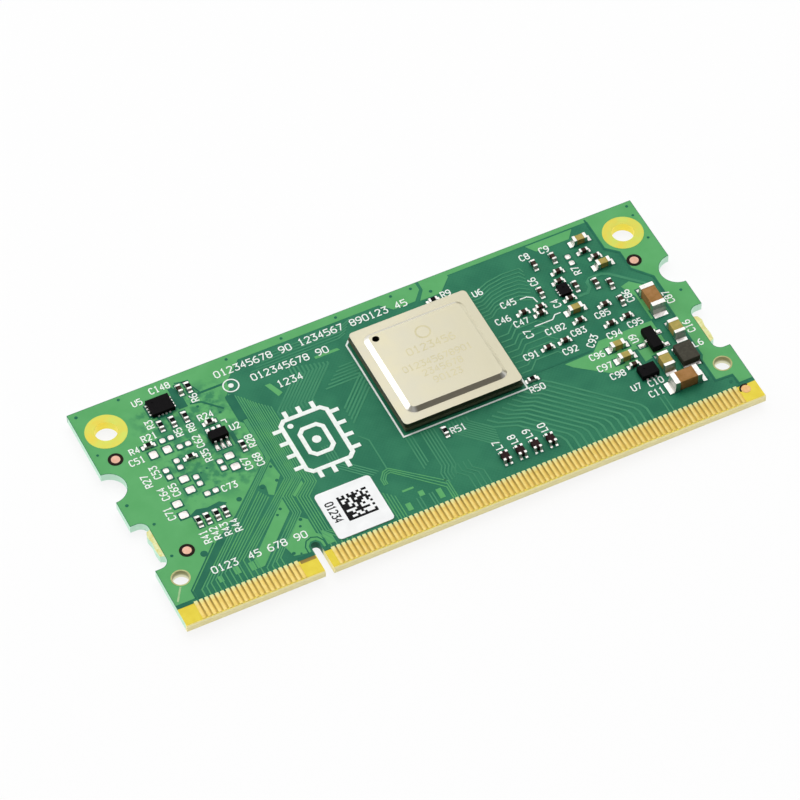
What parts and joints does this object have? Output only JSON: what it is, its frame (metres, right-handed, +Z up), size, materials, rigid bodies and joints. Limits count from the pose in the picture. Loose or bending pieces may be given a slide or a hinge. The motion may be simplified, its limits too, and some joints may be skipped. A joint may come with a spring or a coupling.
{
  "type": "system on module",
  "caption": "Computer module on a flat card with an edge connector, a lidded processor on top and memory chips underneath; it slides into a memory-style socket.",
  "frame": {"origin": "under the middle of the card, on the plane that the memory chips rest on", "axes": "+X along the contact edge, +Y away from the contact edge, +Z up through the processor"},
  "size_m": [0.0676, 0.031, 0.0037],
  "materials": {
    "solder_mask": "glossy green solder mask on glass-fibre laminate",
    "gold": "plated gold",
    "copper": "bare copper",
    "tin": "bright solder and tinned metal",
    "lid_metal": "satin nickel plate",
    "carrier": "dark laminate",
    "silicon": "polished silicon",
    "paste": "soft grey paste",
    "glue": "black sealing glue",
    "chip_black": "matte moulding compound",
    "ferrite": "dull ferrite",
    "ceramic_dark": "fired ceramic",
    "ceramic_tan": "fired ceramic",
    "ceramic_brown": "fired ceramic",
    "ceramic_white": "fired alumina",
    "label_paper": "coated paper"
  },
  "bodies": {
    "root": {"circuit_board": "solder_mask", "edge_contacts_top": "gold", "edge_contacts_bottom": "gold", "mounting_pads": "gold", "locating_hole_rims": "gold", "fiducial_pads": "copper", "bare_solder_pads": "tin", "solder_joints": "tin", "underside_solder_joints": "tin", "paper_label": "label_paper", "soc_solder_balls": "tin", "soc_substrate": "carrier", "soc_die": "silicon", "soc_thermal_paste": "paste", "soc_lid_adhesive": "glue", "soc_lid": "lid_metal", "memory_solder_balls": "tin", "memory_chip": "chip_black", "flash_solder_balls": "tin", "flash_chip": "chip_black", "power_monitor_body": "chip_black", "power_monitor_pads": "tin", "signal_switch_body": "chip_black", "signal_switch_leads": "tin", "reset_chip_body": "chip_black", "reset_chip_leads": "tin", "converter_body": "chip_black", "converter_pads": "tin", "regulator_body": "chip_black", "regulator_pads": "tin", "power_inductor_body": "ferrite", "power_inductor_terminals": "tin", "line_choke_bodies": "ferrite", "line_choke_terminals": "tin", "large_capacitor_bodies": "ceramic_brown", "large_capacitor_terminals": "tin", "wide_capacitor_bodies": "ceramic_tan", "wide_capacitor_terminals": "tin", "medium_capacitor_bodies": "ceramic_tan", "medium_capacitor_terminals": "tin", "small_capacitor_bodies": "ceramic_dark", "small_capacitor_terminals": "tin", "resistor_bodies": "ceramic_white", "resistor_coats": "chip_black", "resistor_terminals": "tin", "underside_capacitor_bodies": "ceramic_dark", "underside_capacitor_terminals": "tin", "crystal_base": "ceramic_white", "crystal_cap": "lid_metal"}
  },
  "joints": []
}
